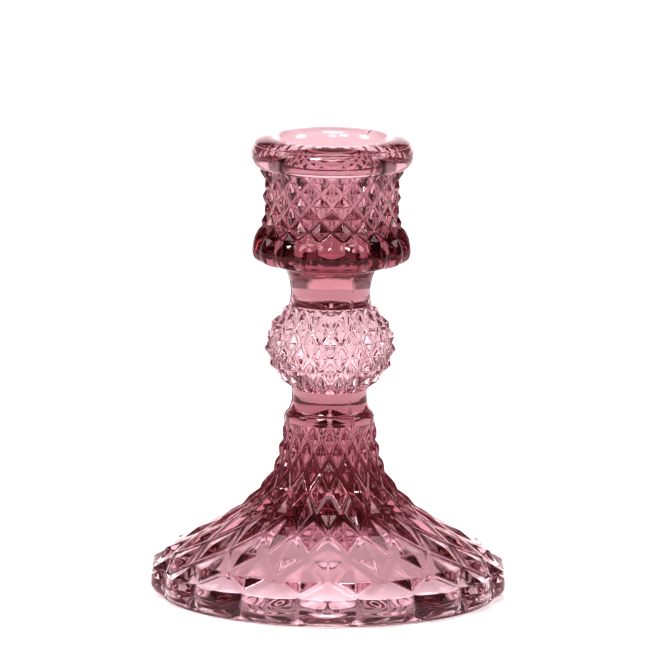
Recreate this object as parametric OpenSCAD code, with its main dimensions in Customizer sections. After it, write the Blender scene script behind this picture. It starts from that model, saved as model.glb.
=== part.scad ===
// Pressed glass candlestick with a diamond pattern, for one straight dinner candle.
// It stands on z = 0 with its axis on Z. The glass is cut into its turned members,
// which meet face to face on level planes.

/* [Candle socket] */
// Radius of the candle bore
candle_r = 11.25; // [10.75:0.25:11.5]
// Height of the glass below the bore
floor_z = 83; // [80:0.5:84]
// Height at which the bore starts to flare
flare_z = 101.2; // [100:0.2:102]

/* [Pattern] */
// Diamonds, and so lobes, around the glass
lobes = 18; // [12:2:24]
// Height of a diamond's point above its valleys on the cup and knop
relief = 1.1; // [0.4:0.1:1.4]
// Depth of the notches between the cup's lobes
cup_notch = 1.0; // [0.2:0.1:1.4]
// Depth of the notches between the hem's scallops
hem_notch = 1.6; // [0.4:0.1:1.8]

/* [Cup] */
// Radius of the points on the cup wall at its waist
wall_r = 15.5; // [15:0.1:16]
// Height of the lowest row of wall diamonds
wall_row_z = 85.2; // [85:0.1:85.4]
// Height from one row of wall diamonds to the next
wall_row_h = 2.8; // [2.6:0.05:2.9]
// Radius of the lobed band
band_r = 18.1; // [17.6:0.1:18.6]
// Radius of the rolled lip
lip_r = 18.3; // [17.8:0.1:18.8]

/* [Knop] */
// Radius of the knop's points at its equator
knop_r = 14.9; // [14:0.1:15.5]
// Half the height of the ellipse that the knop is turned to
knop_half_h = 11.9; // [11.6:0.1:12.4]
// Height of the knop's equator
knop_z = 57; // [56.8:0.1:57.2]
// Radius of the upper neck at its waist
upper_neck_r = 9; // [8:0.1:9.2]
// Radius of the lower neck at its waist
lower_neck_r = 8.5; // [7.6:0.1:8.6]

/* [Foot] */
// Radius of the hem's scallops
hem_r = 40.6; // [40.2:0.1:42]
// Radius of the ring that the glass stands on
stand_r = 38.3; // [37.8:0.1:38.6]
// Rows of half diamonds between the shoulder and the hem
foot_rows = 9; // [7:2:11]
// How far the foot swells out in a rounded shoulder above the hem
foot_swell = 2; // [0:0.1:2.2]
// Height of the hollow under the foot
hollow_h = 20; // [12:0.5:21]
// Radius of the hollow at the table
hollow_r = 36.6; // [35.5:0.1:37]

/* [Hidden] */
// Levels at which one member meets the next
hem_z = 6.6;
shoulder_z = 39.8;
knop_base_z = 47.2;
knop_top_z = 66.3;
cup_z = 74.4;
rim_z = 97.6;
top_z = 104.6;

// Radii shared by the members that meet there
shoulder_r = 10.2;
cup_root_r = 10.2;
lip_root_r = 16.6;
mouth_r = 14;

// The foot's outer curve runs from the shoulder to the hem on these poles
foot_poles = [
    [shoulder_r, shoulder_z], [13.2, 34.3], [6.3, 23.2], [30.5, 13.7], [hem_r - 0.6, hem_z]
];
// The hollow's curve runs from its crown to the standing ring on these poles
hollow_poles = [
    [0, hollow_h], [0.49 * hollow_r, hollow_h], [0.66 * hollow_r, 0.575 * hollow_h],
    [hollow_r, 3.2], [hollow_r + 0.4, 0]
];

facets = 2 * lobes;
lobe_steps = 8;
lobe_points = lobes * lobe_steps;
front = -90;
cut = 1;
$fn = 96;

wine = [0.55, 0.13, 0.24, 0.7];
rose = [0.78, 0.42, 0.52, 0.6];

// ---- curves ----

function binomial(n, k) = k == 0 ? 1 : binomial(n, k - 1) * (n - k + 1) / k;
function bezier(poles, t) =
    let (n = len(poles) - 1)
    [for (axis = [0, 1])
        let (terms = [for (k = [0:n])
            binomial(n, k) * pow(t, k) * pow(1 - t, n - k) * poles[k][axis]])
        terms * [for (term = terms) 1]];
function arc(centre, semi, from, to, steps) =
    [for (i = [0:steps])
        let (a = from + (to - from) * i / steps)
        centre + [semi.x * cos(a), semi.y * sin(a)]];
function knop_at(z) = knop_r * sqrt(1 - pow((z - knop_z) / knop_half_h, 2));

// A waist is a parabola between two end radii that dips to mid_r in the middle
function waist(z0, r0, z1, r1, mid_r, steps) =
    let (bow = 2 * (r0 + r1) - 4 * mid_r)
    [for (i = [0:steps])
        let (t = i / steps)
        [r0 + (r1 - r0) * t - bow * t * (1 - t), z0 + (z1 - z0) * t]];

// ---- solids ----

// Stack of level rings, each a list of points counted anticlockwise from above.
// flip(k, i) says which way the quad above point i of ring k is split.
module ring_stack(rings, flip) {
    n = len(rings[0]);
    top = n * (len(rings) - 1);
    sides = [
        for (k = [0:len(rings) - 2], i = [0:n - 1])
            let (
                a = k * n + i,
                b = k * n + (i + 1) % n,
                c = a + n,
                d = b + n
            )
            each flip(k, i) ? [[a, c, d], [a, d, b]] : [[a, c, b], [b, c, d]]
    ];
    lower_cap = [for (i = [0:n - 1]) i];
    upper_cap = [for (i = [n - 1:-1:0]) top + i];
    polyhedron([for (ring = rings) each ring], concat(sides, [lower_cap, upper_cap]));
}

// Rows of pyramids between levels [radius, z, relief]. Every other point of a row
// is a pyramid's tip; odd is 1 if the lowest row has a tip at the front.
module diamonds(levels, odd) {
    function in_valley(k, i) = (k + i + odd) % 2 == 0;
    rings = [
        for (k = [0:len(levels) - 1]) [
            for (i = [0:facets - 1])
                let (
                    level = levels[k],
                    r = level[0] - (in_valley(k, i) ? level[2] : 0),
                    a = front + i * 360 / facets
                )
                [r * cos(a), r * sin(a), level[1]]
        ]
    ];
    ring_stack(rings, function(k, i) in_valley(k, i));
}

// Round lobes between levels [radius, z, notch, dip]: notch is how deep the glass is
// cut between two lobes, and dip how deep a lobe's own middle is sunk.
module lobed(levels) {
    rings = [
        for (level = levels) [
            for (i = [0:lobe_points - 1])
                let (
                    phase = (i % lobe_steps) / lobe_steps,
                    off_middle = 2 * min(phase, 1 - phase),
                    r = level[0] - level[2] * (1 - cos(90 * off_middle))
                        - level[3] * (1 - off_middle),
                    a = front + i * 360 / lobe_points
                )
                [r * cos(a), r * sin(a), level[1]]
        ]
    ];
    ring_stack(rings, function(k, i) i % lobe_steps < lobe_steps / 2);
}

module turned(outline) {
    rotate_extrude() polygon(concat([[0, outline[0].y]], outline, [[0, outline[len(outline) - 1].y]]));
}

module bore(from_z) {
    translate([0, 0, from_z]) cylinder(r = candle_r, h = top_z - from_z + cut);
}

module hollow() {
    crown_steps = 20;
    curve = [for (i = [0:crown_steps]) bezier(hollow_poles, i / crown_steps)];
    rotate_extrude() polygon(concat(curve, [[hollow_r + 0.4, -cut], [0, -cut]]));
}

// ---- cup ----

module cup_rim() {
    lip_z = rim_z + 3;
    color(rose) rotate_extrude() polygon(concat(
        [[candle_r, rim_z], [lip_root_r, rim_z]],
        arc([lip_r - 2.1, lip_z], [2.1, 2.9], -78, 58, 12),
        arc([mouth_r, rim_z + 4.6], [3.9, 2.4], 22, 90, 8),
        arc([mouth_r, flare_z], [mouth_r - candle_r, top_z - flare_z], 100, 180, 8)
    ));
}

module cup_wall() {
    // The wall is waisted, and flares to the lip above and to the lobes below
    flares = [0.3, 0, 0.1, 0, 0.7];
    rows = [
        for (k = [0:len(flares) - 1])
            [wall_r + flares[k], wall_row_z + k * wall_row_h, relief]
    ];
    color(rose) difference() {
        diamonds(concat(rows, [[lip_root_r, rim_z, relief / 2]]), 0);
        bore(wall_row_z - cut);
    }
}

module cup_base() {
    color(wine) difference() {
        lobed([
            [cup_root_r, cup_z, 0, 0],
            [12.4, 75.3, 0, 0],
            [band_r - 1.7, 76.2, 0.4 * cup_notch, 0],
            [band_r - 0.4, 77.3, 0.8 * cup_notch, 0],
            [band_r, 78.7, cup_notch, 0],
            [band_r - 0.1, 80.4, cup_notch, 0],
            [band_r - 0.9, 82.2, cup_notch, 0],
            [16.4, 83.7, 0.3 * cup_notch, 0.3 * relief],
            [wall_r + 0.3, wall_row_z, 0, relief]
        ]);
        bore(floor_z);
    }
}

// ---- stem ----

module upper_neck() {
    color(rose) turned(waist(knop_top_z, knop_at(knop_top_z), cup_z, cup_root_r, upper_neck_r, 16));
}

module knop() {
    first_row_z = 49.2;
    row_h = 3.6;
    row_shrink = 0.076;
    rows = [
        for (k = [0:5])
            let (z = first_row_z + k * row_h - k * k * row_shrink)
            [knop_at(z), z, relief]
    ];
    // One more row of halves runs out on each neck
    color(rose) diamonds(concat(
        [[knop_at(knop_base_z), knop_base_z, 0]], rows, [[knop_at(knop_top_z), knop_top_z, 0]]
    ), 1);
}

module lower_neck() {
    bead_z = shoulder_z + 1.1;
    color(wine) turned(concat(
        [[shoulder_r, shoulder_z]],
        arc([shoulder_r - 1.2, bead_z], [1.2, 1.1], -30, 70, 6),
        waist(bead_z + 1.3, lower_neck_r + 0.5, knop_base_z, knop_at(knop_base_z), lower_neck_r - 0.1, 10)
    ));
}

// ---- foot ----

module foot() {
    rows = [
        for (k = [foot_rows:-1:0])
            let (
                t = k / foot_rows,
                place = bezier(foot_poles, t),
                swell = foot_swell * exp(-pow((t - 0.85) / 0.11, 2))
            )
            [place.x + swell, place.y, k == 0 ? 0 : 1.2 + 0.4 * t]
    ];
    color(rose) difference() {
        diamonds(rows, 1);
        hollow();
    }
}

module foot_rim() {
    color(rose) difference() {
        lobed([
            [stand_r, 0, 0, 0],
            [stand_r + 0.9, 0.5, 0.2 * hem_notch, 0],
            [hem_r - 0.3, 1.4, 0.7 * hem_notch, 0],
            [hem_r, 3, hem_notch, 0],
            [hem_r - 0.1, 5, hem_notch, 0],
            [hem_r - 0.3, hem_z, hem_notch, 0]
        ]);
        hollow();
    }
}

cup_rim();
cup_wall();
cup_base();
upper_neck();
knop();
lower_neck();
foot();
foot_rim();
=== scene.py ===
import math

import bpy
import numpy as np
from mathutils import Matrix, Vector


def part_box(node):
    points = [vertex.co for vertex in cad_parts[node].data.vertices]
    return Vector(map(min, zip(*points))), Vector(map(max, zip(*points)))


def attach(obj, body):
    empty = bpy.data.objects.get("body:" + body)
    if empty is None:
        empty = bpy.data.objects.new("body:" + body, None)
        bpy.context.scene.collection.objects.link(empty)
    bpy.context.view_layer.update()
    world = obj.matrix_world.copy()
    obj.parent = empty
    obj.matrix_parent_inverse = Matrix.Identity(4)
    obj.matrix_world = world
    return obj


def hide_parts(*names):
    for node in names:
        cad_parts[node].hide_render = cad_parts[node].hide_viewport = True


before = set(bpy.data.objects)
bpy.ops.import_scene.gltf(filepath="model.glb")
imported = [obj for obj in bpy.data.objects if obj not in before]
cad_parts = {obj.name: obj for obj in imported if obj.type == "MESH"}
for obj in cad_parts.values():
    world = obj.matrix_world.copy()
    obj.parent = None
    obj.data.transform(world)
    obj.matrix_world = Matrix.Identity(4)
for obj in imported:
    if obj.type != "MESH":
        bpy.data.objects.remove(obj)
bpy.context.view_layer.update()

# Rose-pink pressed glass candlestick. Each turned member of the CAD frame is replaced by a
# finely cut mesh of the same glass. Lengths are in millimetres until a mesh is made.

MM = 0.001


def levels_of(node):
    """Lowest and highest level of a CAD node, in millimetres."""
    low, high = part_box(node)
    return low.z / MM, high.z / MM


def radius_of(node):
    """Radius of a CAD node through its front lobe, in millimetres."""
    return -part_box(node)[0].y / MM


# ---- driving dimensions ----

LOBES = 18                      # diamonds, and lobes, around the glass
HALVES = 2 * LOBES              # half diamonds around the glass
RELIEF = 1.1                    # height of a diamond over its valleys on the cup and knop
CUP_VALLEY = 0.15               # share of a diamond that its rounded valleys take
VALLEY = 0.22                   # the same on the knop and foot
FACET_SOFT = 0.12               # width of the fire-polished rounding of ridges and valleys
FOOT_FACET_SOFT = 0.3           # the same on the foot
SEAM_ANGLES = (30, 150, 270)    # mould seams, in degrees from the front, towards +X
SEAM_W = 0.24                   # from a seam's middle to where it has sunk to about a third
SEAM_H = 0.20                   # height of a seam over the glass
SOFT_RANGE = (0.02, 0.4)        # least and most of a diamond that a rounding may take
JOINT_GAP = 0.01                # air left between two members' faces
FINE = 12                       # steps in a half diamond on the cup and stem
FOOT_FINE = 14                  # steps in a half diamond on the foot

HEM_Z, SHOULDER_Z = levels_of("foot")
KNOP_Z0, KNOP_Z1 = levels_of("knop")
CUP_Z, WALL_Z0 = levels_of("cup_base")
RIM_Z, TOP_Z = levels_of("cup_rim")

CANDLE_R = 11.25                # the candle bore
FLOOR_Z = 83.0                  # the bore's floor
FLARE_Z = 101.2                 # where the bore starts to open out
LIP_R = radius_of("cup_rim")
LIP_CREST_R = 14.0              # the top of the lip
BAND_R = radius_of("cup_base")
CUP_SHOULDER_R, CUP_SHOULDER_Z = 16.75, 83.0
NECK_R0, NECK_R1 = 9.3, 10.2    # the upper neck's ends
NECK_WAIST_R = 9.0
KNOP_R, KNOP_HALF_H, KNOP_MID_Z = 14.9, 11.9, 57.0
SHOULDER_R = 10.2               # the foot's top
HEM_R = radius_of("foot_rim")
STAND_R = 38.3                  # the ring that the glass stands on
HOLLOW_R, HOLLOW_H = 36.6, 20.0


# ---- curves, as arrays of (radius, z) ----

def bezier(poles, t):
    """Points at the shares t of a Bezier curve."""
    poles = np.asarray(poles, float)
    n = len(poles) - 1
    t = np.asarray(t, float)[:, None]
    return sum(math.comb(n, k) * t ** k * (1 - t) ** (n - k) * poles[k] for k in range(n + 1))


def smooth_curve(points, count):
    """A Catmull-Rom curve through the points, at evenly spaced lengths."""
    steps = 24
    p = np.asarray(points, float)
    p = np.vstack([2 * p[0] - p[1], p, 2 * p[-1] - p[-2]])
    fine = []
    for a, b, c, d in zip(p, p[1:], p[2:], p[3:]):
        t = np.linspace(0, 1, steps, endpoint=False)[:, None]
        fine.append(0.5 * (2 * b + (c - a) * t + (2 * a - 5 * b + 4 * c - d) * t ** 2
                           + (3 * b - a - 3 * c + d) * t ** 3))
    fine = np.vstack(fine + [p[-2:-1]])
    run = np.concatenate([[0], np.cumsum(np.hypot(*np.diff(fine, axis=0).T))])
    at = np.linspace(0, run[-1], count)
    return np.column_stack([np.interp(at, run, fine[:, 0]), np.interp(at, run, fine[:, 1])])


def arc(centre, semi, start, stop, count):
    """Part of an ellipse, between two angles in degrees."""
    a = np.radians(np.linspace(start, stop, count))
    return np.column_stack([centre[0] + semi[0] * np.cos(a), centre[1] + semi[1] * np.sin(a)])


def upright(r, start, stop, count):
    """A straight line at one radius, from one level to another."""
    return np.column_stack([np.full(count, r), np.linspace(start, stop, count)])


def waist(z0, r0, z1, r1, mid_r, count):
    """A parabola between two end radii that dips to mid_r in the middle."""
    t = np.linspace(0, 1, count)
    bow = 2 * (r0 + r1) - 4 * mid_r
    return np.column_stack([r0 + (r1 - r0) * t - bow * t * (1 - t), z0 + (z1 - z0) * t])


def knop_radius(z):
    """The ellipse through the knop's points."""
    return KNOP_R * np.sqrt(1 - ((z - KNOP_MID_Z) / KNOP_HALF_H) ** 2)


# ---- skins ----

class Skin:
    """Rings of points, as an array (rings, columns, 3). For each quad, rising says whether
    it is split from its lower left to its upper right corner, and joint whether it lies on
    the face where one member meets the next."""

    def __init__(self, rings, rising=None, joint=False):
        self.rings = rings
        shape = (len(rings) - 1, rings.shape[1])
        self.rising = np.zeros(shape, bool) if rising is None else rising
        self.joint = np.full(shape, joint)

    def part(self, start, stop):
        """Some of the rings of a skin that holds no joint."""
        return Skin(self.rings[start:stop], self.rising[start:stop - 1])


def column_angles(step):
    """Angles of a ring's points. The first faces the front, and they run towards +X."""
    n = HALVES * step
    return np.arange(n) * 2 * math.pi / n - math.pi / 2


def turned(curve, step):
    """A surface of revolution."""
    a = column_angles(step)
    r, z = curve[:, :1], curve[:, 1:]
    return Skin(np.stack([r * np.cos(a), r * np.sin(a), z + 0 * a], -1))


def lobed(crest, notch, step, square):
    """Lobes around the glass. crest and notch are curves through a lobe's middle and through
    the notch beside it. square goes from 0 for round lobes to 1 for flat-sided ones."""
    phase = (np.arange(HALVES * step) % (2 * step)) / (2 * step)
    off = 2 * np.minimum(phase, 1 - phase)
    share = square[:, None] * (1 - off) + (1 - square[:, None]) * np.cos(off * math.pi / 2)
    place = notch[:, None, :] + share[..., None] * (crest - notch)[:, None, :]
    a = column_angles(step)
    return Skin(np.stack([place[..., 0] * np.cos(a), place[..., 0] * np.sin(a), place[..., 1]], -1))


def soft_abs(x, w):
    """abs(x), with its kink rounded over a width of w to each side."""
    return np.where(np.abs(x) < w, x * x / (2 * w) + w / 2, np.abs(x))


def soft_min(a, b, w):
    """The smaller of a and b, with the kink rounded where they differ by less than w."""
    t = np.maximum(w - np.abs(a - b), 0) / w
    return np.minimum(a, b) - t * t * w / 4


def soft_max(a, b, w):
    """The larger of a and b, with the kink rounded where they differ by less than w."""
    return -soft_min(-a, -b, w)


def fire_polish(levels, v, halves, valley, facet_soft):
    """How far fire polish moves the points of sharp pyramids along their normals, and the
    normals' parts outwards and upwards. It rounds the ridges down and fills the valleys.
    v and halves are the points' places, counted in rows and in half diamonds."""
    at = np.arange(len(levels))
    row_r, row_relief = (np.interp(v, at, levels[:, c]) for c in (0, 2))
    slope_r, slope_z = (np.interp(v, at, np.gradient(levels[:, c])) for c in (0, 1))
    tall = np.hypot(slope_r, slope_z)
    wide = row_r * math.pi / LOBES
    soft = np.clip(facet_soft * np.hypot(tall, wide) / (tall * wide), *SOFT_RANGE)[:, None]
    across = (halves + v[:, None] + 1) / 2
    along = (halves - v[:, None] + 1) / 2
    a, b = (2 * np.abs(x - np.round(x)) for x in (across, along))
    inward = soft_min(1 - soft_abs(1 - a, soft), 1 - soft_abs(1 - b, soft), soft)
    height = soft_max((inward - valley) / (1 - valley), 0, 2 * soft)
    lift = (height - np.minimum(a, b)) * row_relief[:, None]
    return lift, (slope_z / tall)[:, None], (-slope_r / tall)[:, None]


def diamonds(levels, step, v, valley, facet_soft):
    """Rows of pyramids. levels holds each row's (radius, z, relief), from the bottom up, and
    row 0 has a tip at the front. v holds the places of the rings, counted in rows. valley is
    the share of a diamond that lies in the rounded bands between the pyramids."""
    levels = np.asarray(levels, float)
    k = np.minimum(v.astype(int), len(levels) - 2)[:, None]
    columns = np.arange(HALVES * step)
    i = (columns // step)[None, :]
    u = ((columns % step) / step)[None, :, None]
    w = (v[:, None] - k)[..., None]

    def corner(up, over):
        """The corner, up rows and over half diamonds on from the one at the lower left."""
        row = levels[k[:, 0] + up]
        in_valley = (k + up + i + over) % 2 == 1
        r = row[:, :1] - row[:, 2:] * in_valley
        a = (i + over) * 2 * math.pi / HALVES - math.pi / 2
        return np.stack([r * np.cos(a), r * np.sin(a), row[:, 1:2] + 0 * r], -1)

    c00, c10, c01, c11 = corner(0, 0), corner(0, 1), corner(1, 0), corner(1, 1)
    rising_flat = np.where(u >= w, (1 - u) * c00 + (u - w) * c10 + w * c11,
                           (1 - w) * c00 + (w - u) * c01 + u * c11)
    falling_flat = np.where(u + w <= 1, (1 - u - w) * c00 + u * c10 + w * c01,
                            (u + w - 1) * c11 + (1 - w) * c10 + (1 - u) * c01)
    rising = (k + i) % 2 == 1
    points = np.where(rising[..., None], rising_flat, falling_flat)

    lift, out_r, out_z = fire_polish(levels, v, i + u[..., 0], valley, facet_soft)
    angle = column_angles(step)
    normal = np.stack([out_r * np.cos(angle), out_r * np.sin(angle), out_z + 0 * angle], -1)
    return Skin(points + normal * lift[..., None], rising[:-1])


def stacked(*skins):
    """One skin out of several, each of which starts on the ring that the last one ends on."""
    out = Skin(np.concatenate([skins[0].rings] + [s.rings[1:] for s in skins[1:]]))
    out.rising = np.concatenate([s.rising for s in skins])
    out.joint = np.concatenate([s.joint for s in skins])
    return out


def joint(start, end):
    """A level face between two rings, where one member meets the next."""
    return Skin(np.stack([start, end]), joint=True)


def seamed(skin, strength=1.0):
    """Raises the mould's three seams on an outer skin."""
    x, y, z = (skin.rings[..., c] for c in range(3))
    r = np.hypot(x, y)
    front_angle = np.degrees(np.arctan2(y, x)) + 90
    lift = 0 * r
    for k, seam in enumerate(SEAM_ANGLES):
        # Each seam wanders about a tenth of a millimetre to either side, in its own way
        wander = 0.10 * np.sin(z * 1.7 + k) + 0.06 * np.sin(z * 4.1 + 2 * k)
        off = np.radians((front_angle - seam + 180) % 360 - 180) * r - wander
        lift += SEAM_H * strength * np.exp(-(off / SEAM_W) ** 2)
    skin.rings = skin.rings.copy()
    skin.rings[..., :2] *= ((r + lift) / r)[..., None]
    return skin


def trimmed(skin, low=None, high=None):
    """Moves a skin's end rings to half the joint gap inside the joints' levels."""
    skin.rings = skin.rings.copy()
    if low is not None:
        skin.rings[0, :, 2] = low + JOINT_GAP / 2
    if high is not None:
        skin.rings[-1, :, 2] = high - JOINT_GAP / 2
    return skin


# ---- glass ----

GLASS_IOR = 1.52
JOINT_IOR = 1.0005              # a joint between two members must not bend light
MELT_COLOUR = (0.60, 0.23, 0.29)
CORD_SCALE = 90.0               # the stain runs a little thick and thin over the glass
CORD_DEPTH = 0.10

# Each member's stain colour, the density of the melt under it, and how the stain's depth
# changes with height, as (height, depth, height, depth) with the heights in metres. The rose colour
# is the glass's own. The members' paler and deeper stains and densities, and the changes with
# height, are painted light and shade: paler where the glass is lit, as on the knop and the hem, and
# deeper where it is in shade, as on the cup's lobed band and the foot's top.
TINTS_AND_SHADES = {
    "lip": ((0.76, 0.60, 0.64), 32.0, (0.097, 1.1, 0.104, 0.6)),
    "cup": ((0.78, 0.63, 0.67), 60.0, (0.083, 1.25, 0.090, 0.95)),
    "neck": ((0.78, 0.66, 0.69), 60.0, (0.039, 1.2, 0.075, 1.0)),
    "knop": ((0.84, 0.75, 0.78), 17.0, (0.047, 1.0, 0.067, 1.0)),
    "foot": ((0.84, 0.72, 0.76), 62.0, (0.010, 1.0, 0.030, 1.4)),
    "hem": ((0.97, 0.93, 0.95), 8.0, (0.000, 1.0, 0.007, 1.0))
}


def mapped(tree, value, source, target, smooth=False):
    """A value taken from the source range to the target range, and held inside that."""
    node = tree.nodes.new("ShaderNodeMapRange")
    if smooth:
        node.interpolation_type = "SMOOTHSTEP"
    tree.links.new(value, node.inputs["Value"])
    node.inputs["From Min"].default_value, node.inputs["From Max"].default_value = source
    node.inputs["To Min"].default_value, node.inputs["To Max"].default_value = target
    return node.outputs["Result"]


def product(tree, first, second):
    """One value times another."""
    node = tree.nodes.new("ShaderNodeMath")
    node.operation = "MULTIPLY"
    tree.links.new(first, node.inputs[0])
    tree.links.new(second, node.inputs[1])
    return node.outputs["Value"]


def stain_and_shade_depth(tree, ior, run):
    """Depth of the stain: 0 on a joint face, and about 1 on the skin, where it runs thick
    and thin and also changes with height. The change with height is painted light and shade."""
    on_skin = mapped(tree, ior, (JOINT_IOR, GLASS_IOR), (0, 1))
    place = tree.nodes.new("ShaderNodeTexCoord").outputs["Object"]
    cords = tree.nodes.new("ShaderNodeTexNoise")
    cords.inputs["Scale"].default_value = CORD_SCALE
    tree.links.new(place, cords.inputs["Vector"])
    thickness = mapped(tree, cords.outputs["Fac"], (0, 1), (1 - CORD_DEPTH, 1 + CORD_DEPTH))
    axes = tree.nodes.new("ShaderNodeSeparateXYZ")
    tree.links.new(place, axes.inputs["Vector"])
    z0, depth0, z1, depth1 = run
    # The stain's change with height is painted light and shade, not a change in the glass.
    shade_by_height = mapped(tree, axes.outputs["Z"], (z0, z1), (depth0, depth1))
    return product(tree, product(tree, on_skin, thickness), shade_by_height)


def stained_and_shaded_glass(name):
    """Pressed glass that is coloured twice: a stain on its skin tints all that goes in or
    out, and the melt absorbs with depth. Joint faces bear no stain and don't bend light. Each
    member's stain and melt are made paler or deeper, and the stain changes with height, as painted
    light and shade."""
    stain_and_shade_colour, melt_and_shade_density, run = TINTS_AND_SHADES[name]
    material = bpy.data.materials.new("stained_and_shaded_glass_" + name)
    material.use_nodes = True
    tree = material.node_tree
    shader = tree.nodes["Principled BSDF"]
    shader.inputs["Transmission Weight"].default_value = 1.0
    shader.inputs["Roughness"].default_value = 0.0
    shader.inputs["IOR"].default_value = GLASS_IOR
    ior = tree.nodes.new("ShaderNodeAttribute")
    ior.attribute_name = "ior"
    tree.links.new(ior.outputs["Fac"], shader.inputs["IOR"])
    stain_and_shade_mix = tree.nodes.new("ShaderNodeMix")
    stain_and_shade_mix.data_type = "RGBA"
    stain_and_shade_mix.clamp_factor = False
    tree.links.new(stain_and_shade_depth(tree, ior.outputs["Fac"], run), stain_and_shade_mix.inputs["Factor"])
    stain_and_shade_mix.inputs["A"].default_value = (1, 1, 1, 1)
    stain_and_shade_mix.inputs["B"].default_value = (*stain_and_shade_colour, 1)
    tree.links.new(stain_and_shade_mix.outputs["Result"], shader.inputs["Base Color"])
    melt = tree.nodes.new("ShaderNodeVolumeAbsorption")
    melt.inputs["Color"].default_value = (*MELT_COLOUR, 1)
    melt.inputs["Density"].default_value = melt_and_shade_density
    tree.links.new(melt.outputs["Volume"], tree.nodes["Material Output"].inputs["Volume"])
    return material


# ---- meshes ----

def closed_faces(skin, hollow_ring, joint_start, joint_end):
    """Points and triangles of a closed mesh, and which triangles lie on a joint. The skin
    goes round the section anticlockwise, outer side upwards. A ring-shaped member ends on
    its first ring, and any other has its first and last rings closed on the axis."""
    rings, n = skin.rings * MM, skin.rings.shape[1]
    count = len(rings) - (1 if hollow_ring else 0)
    points = rings[:count].reshape(-1, 3)
    i = np.arange(n)
    j = (i + 1) % n
    faces, on_joint = [], []
    for k in range(len(rings) - 1):
        m = (k + 1) % count if hollow_ring else k + 1
        a, b, c, d = k * n + i, k * n + j, m * n + j, m * n + i
        up = skin.rising[k][:, None]
        faces.append(np.where(up, np.column_stack([a, b, c]), np.column_stack([a, b, d])))
        faces.append(np.where(up, np.column_stack([a, c, d]), np.column_stack([b, c, d])))
        on_joint.append(np.tile(skin.joint[k], 2))
    if not hollow_ring:
        last = (count - 1) * n
        pole = len(points)
        points = np.vstack([points, rings[0].mean(0), rings[-1].mean(0)])
        faces.append(np.column_stack([0 * i + pole, j, i]))
        on_joint.append(np.full(n, joint_start))
        faces.append(np.column_stack([last + i, last + j, 0 * i + pole + 1]))
        on_joint.append(np.full(n, joint_end))
    return points, np.vstack(faces), np.concatenate(on_joint)


def glass_mesh(name, points, faces, on_joint):
    """A mesh whose faces know the glass's index, which is almost that of air on a joint."""
    mesh = bpy.data.meshes.new(name)
    mesh.vertices.add(len(points))
    mesh.vertices.foreach_set("co", points.astype(np.float32).ravel())
    mesh.loops.add(3 * len(faces))
    mesh.loops.foreach_set("vertex_index", faces.astype(np.int32).ravel())
    mesh.polygons.add(len(faces))
    mesh.polygons.foreach_set("loop_start", (3 * np.arange(len(faces))).astype(np.int32))
    mesh.polygons.foreach_set("use_smooth", ~on_joint)
    mesh.update(calc_edges=True)
    ior = mesh.attributes.new("ior", "FLOAT", "FACE")
    ior.data.foreach_set("value", np.where(on_joint, JOINT_IOR, GLASS_IOR).astype(np.float32))
    mark_joint_edges(mesh, faces, on_joint)
    mesh.validate()
    return mesh


def mark_joint_edges(mesh, faces, on_joint):
    """Makes the edges between a joint and the skin sharp, so the skin's shading stays true."""
    total = len(mesh.vertices)

    def edge_keys(ends):
        """One number for each edge, whichever way round its ends are given."""
        return ends.min(1).astype(np.int64) * total + ends.max(1)

    def keys_of(triangles):
        return edge_keys(triangles[:, [0, 1, 1, 2, 2, 0]].reshape(-1, 2))

    ends = np.empty(2 * len(mesh.edges), np.int32)
    mesh.edges.foreach_get("vertices", ends)
    shared = np.intersect1d(keys_of(faces[on_joint]), keys_of(faces[~on_joint]))
    sharp = mesh.attributes.new("sharp_edge", "BOOLEAN", "EDGE")
    sharp.data.foreach_set("value", np.isin(edge_keys(ends.reshape(-1, 2)), shared))


def show(node, material, skin, hollow_ring=False, joint_start=False, joint_end=False):
    """Puts a skin's closed mesh in the place of its CAD node."""
    mesh = glass_mesh(node, *closed_faces(skin, hollow_ring, joint_start, joint_end))
    mesh.materials.append(material)
    piece = bpy.data.objects.new(node + "_glass", mesh)
    bpy.context.scene.collection.objects.link(piece)
    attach(piece, "root")
    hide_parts(node)


# ---- cup ----

def cup_skin():
    """The outer skin from the lobed band's shoulder to the lip's root. Row 0 is the
    shoulder, and row 1 is where the base meets the wall."""
    wall_r = 15.5
    row_h = 2.8
    shoulder_relief = 1.25
    # The wall is waisted, and flares to the lobes below and to the lip above
    flares = (0.3, 0.0, 0.1, 0.0, 0.6, 2.0)
    rows = [(CUP_SHOULDER_R, CUP_SHOULDER_Z, shoulder_relief)]
    rows += [(wall_r + flare, WALL_Z0 + k * row_h, RELIEF) for k, flare in enumerate(flares)]
    # The lip's root cuts through the last row
    whole_rows = len(flares) - 1
    cut = whole_rows + (RIM_Z - rows[whole_rows][1]) / row_h
    v = np.concatenate([np.arange(0, whole_rows, 1 / FINE), np.linspace(whole_rows, cut, 7)])
    return diamonds(rows, FINE, v, CUP_VALLEY, FACET_SOFT)


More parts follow.
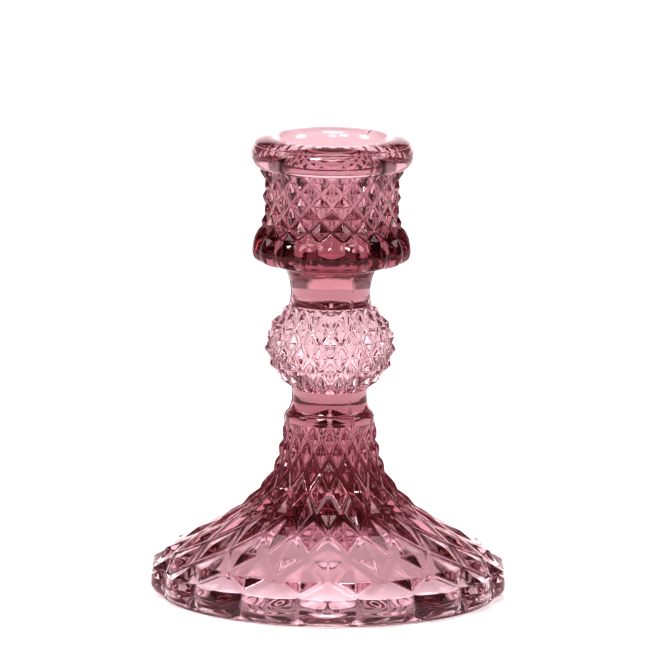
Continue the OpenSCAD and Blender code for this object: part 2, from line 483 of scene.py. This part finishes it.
def make_cup_rim(material, root):
    """root is the wavy ring on which the wall's diamonds run into the lip."""
    low = RIM_Z + JOINT_GAP / 2
    side = arc((LIP_R - 2.1, RIM_Z + 3.0), (2.1, 2.9), -72, 58, 40)
    top = arc((LIP_CREST_R, RIM_Z + 4.6), (3.9, 2.4), 22, 90, 28)
    flare = arc((LIP_CREST_R, FLARE_Z), (LIP_CREST_R - CANDLE_R, TOP_Z - FLARE_Z), 90, 180, 28)
    bore = upright(CANDLE_R, FLARE_Z, low, 6)
    body = turned(np.vstack([side, top, flare[1:], bore[1:]]), FINE)
    seam_rings = 60             # the seams end on top of the lip
    root = root.copy()
    root[:, 2] = low
    start = Skin(np.stack([root, body.rings[0]]))
    outer = seamed(stacked(start, body.part(0, seam_rings)), strength=0.6)
    inner = body.part(seam_rings - 1, len(body.rings))
    whole = stacked(outer, inner, joint(body.rings[-1], root))
    show("cup_rim", material, whole, hollow_ring=True)


def make_cup_wall(material, skin):
    """The socket's wall, with the diamonds outside and the plain bore inside."""
    outer = trimmed(skin, low=WALL_Z0, high=RIM_Z)
    low, high = outer.rings[0, 0, 2], outer.rings[-1, 0, 2]
    bore = turned(upright(CANDLE_R, high, low, 9), FINE)
    whole = stacked(seamed(outer), joint(outer.rings[-1], bore.rings[0]), bore,
                    joint(bore.rings[-1], outer.rings[0]))
    show("cup_wall", material, whole, hollow_ring=True)


def make_cup_base(material, shoulder):
    """shoulder is the skin above the lobes, up to the wall."""
    crest = smooth_curve([
        (NECK_R1, CUP_Z), (10.5, 74.85), (11.2, 75.05), (13.2, 75.55), (15.6, 76.1), (17.0, 76.7),
        (17.8, 77.6), (BAND_R, 79.0), (BAND_R - 0.2, 80.4), (17.4, 81.9),
        (CUP_SHOULDER_R, CUP_SHOULDER_Z)
    ], 64)
    notch = smooth_curve([
        (NECK_R1, CUP_Z), (10.5, 74.85), (11.2, 75.05), (13.1, 75.55), (14.9, 76.1), (16.0, 76.7),
        (16.7, 77.6), (17.05, 79.0), (16.9, 80.4), (16.3, 81.9), (15.5, CUP_SHOULDER_Z)
    ], 64)
    square = np.clip((crest[:, 1] - (CUP_SHOULDER_Z - 2)) / 2, 0, 1)
    band = lobed(crest, notch, FINE, square)
    band.rings[-1] = shoulder.rings[0]
    outer = trimmed(stacked(band, shoulder), low=CUP_Z, high=WALL_Z0)
    fillet = 1.2
    last_r = 0.5                # the floor's last ring, beside the axis
    well = np.vstack([
        upright(CANDLE_R, outer.rings[-1, 0, 2], FLOOR_Z + fillet, 4),
        arc((CANDLE_R - fillet, FLOOR_Z + fillet), (fillet, fillet), 0, -90, 10)[1:],
        np.column_stack([np.linspace(CANDLE_R - 2 * fillet, last_r, 8), np.full(8, FLOOR_Z)])
    ])
    inner = turned(well, FINE)
    whole = stacked(seamed(outer), joint(outer.rings[-1], inner.rings[0]), inner)
    show("cup_base", material, whole, joint_start=True)


# ---- stem ----

def make_solid(node, material, skin, low, high):
    """A member without a hollow, with a joint at each end."""
    outer = seamed(trimmed(skin, low=low, high=high))
    show(node, material, outer, joint_start=True, joint_end=True)


def make_upper_neck(material):
    curve = waist(KNOP_Z1, NECK_R0, CUP_Z, NECK_R1, NECK_WAIST_R, 40)
    make_solid("upper_neck", material, turned(curve, FINE), KNOP_Z1, CUP_Z)


def make_knop(material):
    """Six rows of diamonds, which draw a little together upwards, and a row of halves that
    runs out on each neck."""
    first_z, row_h, shrink, row_count = 49.2, 3.6, 0.076, 6
    z = first_z + np.arange(row_count) * row_h - np.arange(row_count) ** 2 * shrink
    rows = [(knop_radius(KNOP_Z0), KNOP_Z0, 0)]
    rows += [(knop_radius(level), level, RELIEF) for level in z]
    rows += [(knop_radius(KNOP_Z1), KNOP_Z1, 0)]
    v = np.linspace(0, len(rows) - 1, (len(rows) - 1) * FINE + 1)
    skin = diamonds(rows, FINE, v, VALLEY, FACET_SOFT)
    make_solid("knop", material, skin, KNOP_Z0, KNOP_Z1)


def make_lower_neck(material):
    """The neck under the knop, with the shoulder bead at its foot."""
    bead_z = SHOULDER_Z + 1.1
    curve = smooth_curve([
        (SHOULDER_R, SHOULDER_Z), (10.15, 40.3), (10.1, bead_z), (9.75, 41.7), (9.2, 42.25),
        (8.85, 43.0), (8.5, 44.2), (8.4, 45.4), (8.4, 46.4), (knop_radius(KNOP_Z0), KNOP_Z0)
    ], 60)
    make_solid("lower_neck", material, turned(curve, FINE), SHOULDER_Z, KNOP_Z0)


# ---- foot ----

FOOT_ROWS = 9
FOOT_RELIEF, RELIEF_GAIN = 1.2, 0.4     # the diamonds' height, and what it gains by the hem
FOOT_SWELL = 2.0                        # the foot's rounded shoulder above the hem
SWELL_PLACE, SWELL_SPREAD = 0.85, 0.11  # as shares of the way down
FOOT_POLES = [(SHOULDER_R, SHOULDER_Z), (13.2, 34.3), (6.3, 23.2), (30.5, 13.7),
              (HEM_R - 0.6, HEM_Z)]
HOLLOW_POLES = [(0, HOLLOW_H), (0.49 * HOLLOW_R, HOLLOW_H), (0.66 * HOLLOW_R, 0.575 * HOLLOW_H),
                (HOLLOW_R, 3.2), (HOLLOW_R + 0.4, 0)]
RING_STEP = 0.2                         # least height from the joint to the hollow's next ring
POLE_R = 0.3                            # least radius of a ring beside the axis
HOLLOW = bezier(HOLLOW_POLES, np.linspace(0, 1, 90))            # from the crown to the table
HOLLOW_HEM_R = np.interp(-HEM_Z, -HOLLOW[:, 1], HOLLOW[:, 0])   # its radius at the hem's top


def foot_skin():
    """The outer skin from the hem up to the shoulder."""
    down = np.arange(FOOT_ROWS, -1, -1) / FOOT_ROWS
    place = bezier(FOOT_POLES, down)
    place[:, 0] += FOOT_SWELL * np.exp(-((down - SWELL_PLACE) / SWELL_SPREAD) ** 2)
    relief = np.where(down == 0, 0, FOOT_RELIEF + RELIEF_GAIN * down)
    rows = np.column_stack([place, relief])
    v = np.linspace(0, FOOT_ROWS, FOOT_ROWS * FOOT_FINE + 1)
    return diamonds(rows, FOOT_FINE, v, VALLEY, FOOT_FACET_SOFT)


def make_foot_rim(material, top_ring):
    """top_ring is the wavy ring on which the foot's diamonds run into the hem."""
    crest = smooth_curve([
        (STAND_R - 0.35, 0), (STAND_R + 0.1, 0.15), (STAND_R + 0.5, 0.75), (HEM_R - 0.7, 1.35),
        (HEM_R - 0.1, 2.4), (HEM_R - 0.06, 3.6), (HEM_R - 0.1, 5.0), (HEM_R - 0.3, HEM_Z)
    ], 60)
    notch = smooth_curve([
        (STAND_R - 0.35, 0), (STAND_R + 0.1, 0.15), (STAND_R + 0.4, 0.7), (HEM_R - 1.9, 1.2),
        (HEM_R - 1.7, 2.4), (HEM_R - 1.65, 3.6), (HEM_R - 1.7, 5.0), (HEM_R - 1.9, HEM_Z)
    ], 60)
    square = np.clip((crest[:, 1] - (HEM_Z - 2)) / 2, 0, 1)
    outer = lobed(crest, notch, FOOT_FINE, square)
    outer.rings[-1] = top_ring
    outer = trimmed(outer, high=HEM_Z)
    below = HOLLOW[HOLLOW[:, 1] < HEM_Z - RING_STEP]
    inner = turned(np.vstack([[[HOLLOW_HEM_R, outer.rings[-1, 0, 2]]], below]), FOOT_FINE)
    stand = Skin(np.stack([inner.rings[-1], outer.rings[0]]))
    whole = stacked(outer, joint(outer.rings[-1], inner.rings[0]), inner, stand)
    show("foot_rim", material, whole, hollow_ring=True)


def make_foot(material, skin):
    """The bell between the hem and the shoulder, with its hollow."""
    outer = trimmed(skin, low=HEM_Z, high=SHOULDER_Z)
    above = HOLLOW[(HOLLOW[:, 1] > HEM_Z + RING_STEP) & (HOLLOW[:, 0] > POLE_R)]
    inner = turned(np.vstack([above, [[HOLLOW_HEM_R, outer.rings[0, 0, 2]]]]), FOOT_FINE)
    whole = stacked(inner, joint(inner.rings[-1], outer.rings[0]), seamed(outer, strength=0.7))
    show("foot", material, whole, joint_end=True)


# ---- studio, in metres ----

def make_floor():
    """Plain pale floor, lit a little from below. It lies just under the glass, so their
    faces don't coincide."""
    half_size, drop = 6.0, 0.0002
    shade, glow, roughness = 0.7, 0.55, 0.7
    corners = [(x * half_size, y * half_size, 0) for x, y in ((-1, -1), (1, -1), (1, 1), (-1, 1))]
    mesh = bpy.data.meshes.new("floor")
    mesh.from_pydata(corners, [], [(0, 1, 2, 3)])
    material = bpy.data.materials.new("floor_white")
    material.use_nodes = True
    shader = material.node_tree.nodes["Principled BSDF"]
    shader.inputs["Base Color"].default_value = (shade, shade, shade, 1)
    shader.inputs["Roughness"].default_value = roughness
    shader.inputs["Emission Color"].default_value = (1, 1, 1, 1)
    shader.inputs["Emission Strength"].default_value = glow
    mesh.materials.append(material)
    floor = bpy.data.objects.new("floor", mesh)
    bpy.context.scene.collection.objects.link(floor)
    floor.location.z = -drop


SURROUNDINGS = (0.13, 0.04, 0.055)      # wine-coloured, and dim
GLOW_FADE = 0.25        # a glow's edge fades this share of its half width to either side

# (azimuth, elevation, half width, radiance): the azimuth is 0 behind the glass, as the
# camera sees it, and grows towards +X. All angles are in degrees.
GLOWS = [
    (0, 5, 24, 1.6),        # the backdrop, with its wings and its upper part
    (-42, 0, 20, 0.6),
    (42, 0, 20, 0.6),
    (0, 48, 18, 0.9),
    (180, 72, 15, 5.5),     # the softbox overhead, and a small one below it
    (180, 40, 8, 6.0),
    (-95, 35, 12, 6.0),     # softboxes at the left and the right
    (95, 35, 12, 6.0),
    (-150, 45, 7, 24.0)     # the lamp that shows on the necks
]


def light_world():
    """Soft studio light: round glows, added to dim surroundings."""
    world = bpy.data.worlds.new("studio")
    bpy.context.scene.world = world
    world.use_nodes = True
    tree = world.node_tree
    place = tree.nodes.new("ShaderNodeTexCoord").outputs["Generated"]
    total = None
    for azimuth, elevation, half_width, radiance in GLOWS:
        a, e = math.radians(azimuth), math.radians(elevation)
        centre = (math.sin(a) * math.cos(e), math.cos(a) * math.cos(e), math.sin(e))
        toward = tree.nodes.new("ShaderNodeVectorMath")
        toward.operation = "DOT_PRODUCT"
        tree.links.new(place, toward.inputs[0])
        toward.inputs[1].default_value = centre
        outer_edge = math.cos(math.radians((1 + GLOW_FADE) * half_width))
        inner_edge = math.cos(math.radians((1 - GLOW_FADE) * half_width))
        glow = mapped(tree, toward.outputs["Value"], (outer_edge, inner_edge), (0, radiance),
                      smooth=True)
        both = tree.nodes.new("ShaderNodeVectorMath")
        if total:
            tree.links.new(total, both.inputs[0])
        else:
            both.inputs[0].default_value = SURROUNDINGS
        tree.links.new(glow, both.inputs[1])
        total = both.outputs["Vector"]
    background = tree.nodes["Background"]
    background.inputs["Strength"].default_value = 1.0
    tree.links.new(total, background.inputs["Color"])


CAMERA_AIM = Vector((0.0011, 0, 0.0591))
CAMERA_DISTANCE = 2.0
CAMERA_ELEVATION = math.radians(10.5)
CAMERA_ROLL = math.radians(0.63)
CAMERA_LENS, CAMERA_SENSOR = 475, 36    # in millimetres


def make_camera():
    """Looks from the front, a little down, through a long lens."""
    data = bpy.data.cameras.new("camera")
    data.sensor_width = CAMERA_SENSOR
    data.lens = CAMERA_LENS
    camera = bpy.data.objects.new("camera", data)
    bpy.context.scene.collection.objects.link(camera)
    back = Vector((0, -math.cos(CAMERA_ELEVATION), math.sin(CAMERA_ELEVATION)))
    camera.location = CAMERA_AIM + CAMERA_DISTANCE * back
    turn = (CAMERA_AIM - camera.location).to_track_quat("-Z", "Y").to_matrix()
    camera.rotation_euler = (turn @ Matrix.Rotation(CAMERA_ROLL, 3, "Z")).to_euler()
    bpy.context.scene.camera = camera


def make_render_settings():
    """A steep tone curve, and bounces enough for light to cross all the glass."""
    scene = bpy.context.scene
    scene.view_settings.view_transform = "Standard"
    scene.view_settings.gamma = 0.6
    scene.cycles.max_bounces = 32
    scene.cycles.transmission_bounces = 32
    scene.cycles.glossy_bounces = 24
    scene.cycles.sample_clamp_indirect = 8
    scene.cycles.blur_glossy = 0


def main():
    make_camera()
    glass = {name: stained_and_shaded_glass(name) for name in TINTS_AND_SHADES}
    cup = cup_skin()
    wall_ring = FINE            # the ring at row 1, where the base meets the wall
    make_cup_rim(glass["lip"], cup.rings[-1])
    make_cup_wall(glass["cup"], cup.part(wall_ring, len(cup.rings)))
    make_cup_base(glass["cup"], cup.part(0, wall_ring + 1))
    make_upper_neck(glass["neck"])
    make_knop(glass["knop"])
    make_lower_neck(glass["neck"])
    foot = foot_skin()
    make_foot_rim(glass["hem"], foot.rings[0])
    make_foot(glass["foot"], foot)
    make_floor()
    light_world()
    make_render_settings()


main()
